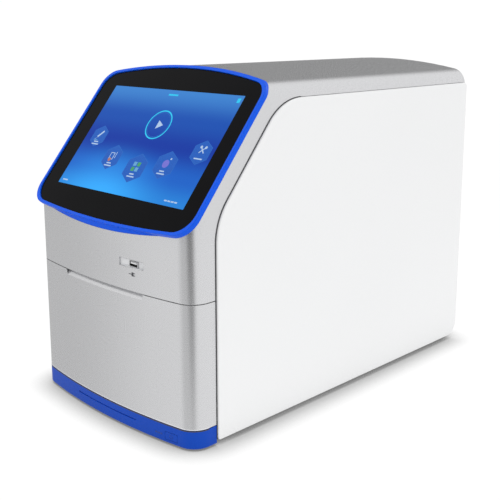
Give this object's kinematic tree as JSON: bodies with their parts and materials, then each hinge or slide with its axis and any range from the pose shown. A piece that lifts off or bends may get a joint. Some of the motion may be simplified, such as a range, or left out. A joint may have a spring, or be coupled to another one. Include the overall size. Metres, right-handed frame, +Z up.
{
  "type": "thermal cycler",
  "caption": "Bench-top real-time thermal cycler: tilted touch screen, motor-driven sample drawer with a heated block, heated lid and optics inside a silver and white case.",
  "frame": {"origin": "on the bench surface, under the middle of the instrument's overall box", "axes": "+Z up, -Y towards the user (screen and drawer), +X to the instrument's left as seen from behind, the user's right"},
  "size_m": [0.2748, 0.4884, 0.3773],
  "materials": {
    "silver_paint": "satin metallic",
    "white_paint": "satin",
    "blue_gloss": "gloss",
    "blue_trim": "satin gloss",
    "screen_glass": "opaque black-backed glass, polished",
    "display": "smooth",
    "zinc_steel": "zinc plated",
    "stainless": "brushed",
    "bright_metal": "nickel plated",
    "anodised": "anodised",
    "black_metal": "matt black",
    "black_plastic": "fine matt",
    "grey_plastic": "fine matt",
    "circuit": "solder resist",
    "tile_ceramic": "ceramic",
    "optic": "polished",
    "filter_glass": "coated glass",
    "bronze": "turned",
    "foot_rubber": "matt"
  },
  "bodies": {
    "root": {"upper_shell": "silver_paint", "bezel_ring": "blue_gloss", "touch_glass": "screen_glass", "display_panel": "display", "display_bracket": "zinc_steel", "display_board": "circuit", "side_panel_left": "white_paint", "side_panel_right": "white_paint", "base_trim": "blue_trim", "key_switch": "black_plastic", "usb_recess": "silver_paint", "usb_port": "bright_metal", "base_plate": "zinc_steel", "rubber_feet": "foot_rubber", "frame_plate_left": "zinc_steel", "frame_plate_right": "zinc_steel", "rear_panel": "white_paint", "fan_guard": "bright_metal", "exhaust_fan_frame": "black_plastic", "mains_inlet": "black_plastic", "switch_housing": "black_plastic", "data_sockets": "bright_metal", "case_screws": "stainless", "power_supply": "zinc_steel", "main_board": "circuit", "slide_outer_rails": "zinc_steel", "drawer_motor": "black_metal", "screw_bearing": "anodised", "lid_guide_rods": "stainless", "lid_motors": "black_metal", "optics_deck": "zinc_steel", "optics_housing": "black_metal", "field_lens": "optic", "filter_motor": "black_metal", "camera_module": "black_metal", "lamp_module": "circuit"},
    "drawer": {"drawer_front": "silver_paint", "drawer_tray": "zinc_steel", "front_brackets": "zinc_steel", "drawer_deck": "grey_plastic", "well_block": "anodised", "peltier_tiles": "tile_ceramic", "heat_sink": "anodised", "block_fan_frame": "black_plastic", "slide_inner_rails": "zinc_steel", "drawer_nut": "bronze"},
    "block_fan": {"block_fan_rotor": "black_plastic"},
    "slide_middle": {"slide_middle_rails": "zinc_steel"},
    "drawer_leadscrew": {"drawer_screw": "stainless"},
    "heated_lid": {"heated_lid_plate": "anodised", "lid_carriage": "zinc_steel", "lid_bushes": "bronze", "lid_nuts": "bronze"},
    "lid_leadscrew_left": {"lid_screw_left": "stainless"},
    "lid_leadscrew_right": {"lid_screw_right": "stainless"},
    "filter_turret": {"filter_wheel": "black_metal", "optical_filters": "filter_glass"},
    "exhaust_fan": {"exhaust_fan_rotor": "black_plastic"},
    "rocker": {"power_rocker": "black_plastic"},
    "key": {"standby_key": "blue_trim"}
  },
  "joints": [
    {"name": "drawer_slide", "type": "slide", "parent": "root", "child": "drawer", "axis": [0, -1, 0], "range_m": [0, 0.18]},
    {"name": "middle_rail_slide", "type": "slide", "parent": "root", "child": "slide_middle", "axis": [0, -1, 0], "range_m": [0, 0.09]},
    {"name": "drawer_screw_turn", "type": "hinge", "parent": "root", "child": "drawer_leadscrew", "pos_m": [0, 0.06, 0.031], "axis": [0, 1, 0], "range_deg": [0, 8200]},
    {"name": "lid_press", "type": "slide", "parent": "root", "child": "heated_lid", "axis": [0, 0, -1], "range_m": [0, 0.009]},
    {"name": "lid_screw_left_turn", "type": "hinge", "parent": "root", "child": "lid_leadscrew_left", "pos_m": [-0.094, -0.12, 0.16], "axis": [0, 0, 1], "range_deg": [0, 1700]},
    {"name": "lid_screw_right_turn", "type": "hinge", "parent": "root", "child": "lid_leadscrew_right", "pos_m": [0.094, -0.12, 0.16], "axis": [0, 0, 1], "range_deg": [0, 1700]},
    {"name": "filter_turn", "type": "hinge", "parent": "root", "child": "filter_turret", "pos_m": [0, -0.09, 0.284], "axis": [0, 0, 1], "continuous": true},
    {"name": "exhaust_fan_spin", "type": "hinge", "parent": "root", "child": "exhaust_fan", "pos_m": [-0.062, 0.222, 0.262], "axis": [0, 1, 0], "continuous": true},
    {"name": "block_fan_spin", "type": "hinge", "parent": "drawer", "child": "block_fan", "pos_m": [0, -0.044, 0.086], "axis": [0, 1, 0], "continuous": true},
    {"name": "rocker_tilt", "type": "hinge", "parent": "root", "child": "rocker", "pos_m": [0.036, 0.236, 0.062], "axis": [1, 0, 0], "range_deg": [-18, 0]},
    {"name": "key_press", "type": "slide", "parent": "root", "child": "key", "axis": [0, 1, 0], "range_m": [0, 0.0012], "stiffness_N_per_m": 900}
  ],
  "couplings": [
    {"joint": "middle_rail_slide", "follows": "drawer_slide", "ratio": 0.5},
    {"joint": "drawer_screw_turn", "follows": "drawer_slide", "rad_per_m": 785.4},
    {"joint": "lid_screw_left_turn", "follows": "lid_press", "rad_per_m": 3141.6},
    {"joint": "lid_screw_right_turn", "follows": "lid_press", "rad_per_m": 3141.6}
  ]
}
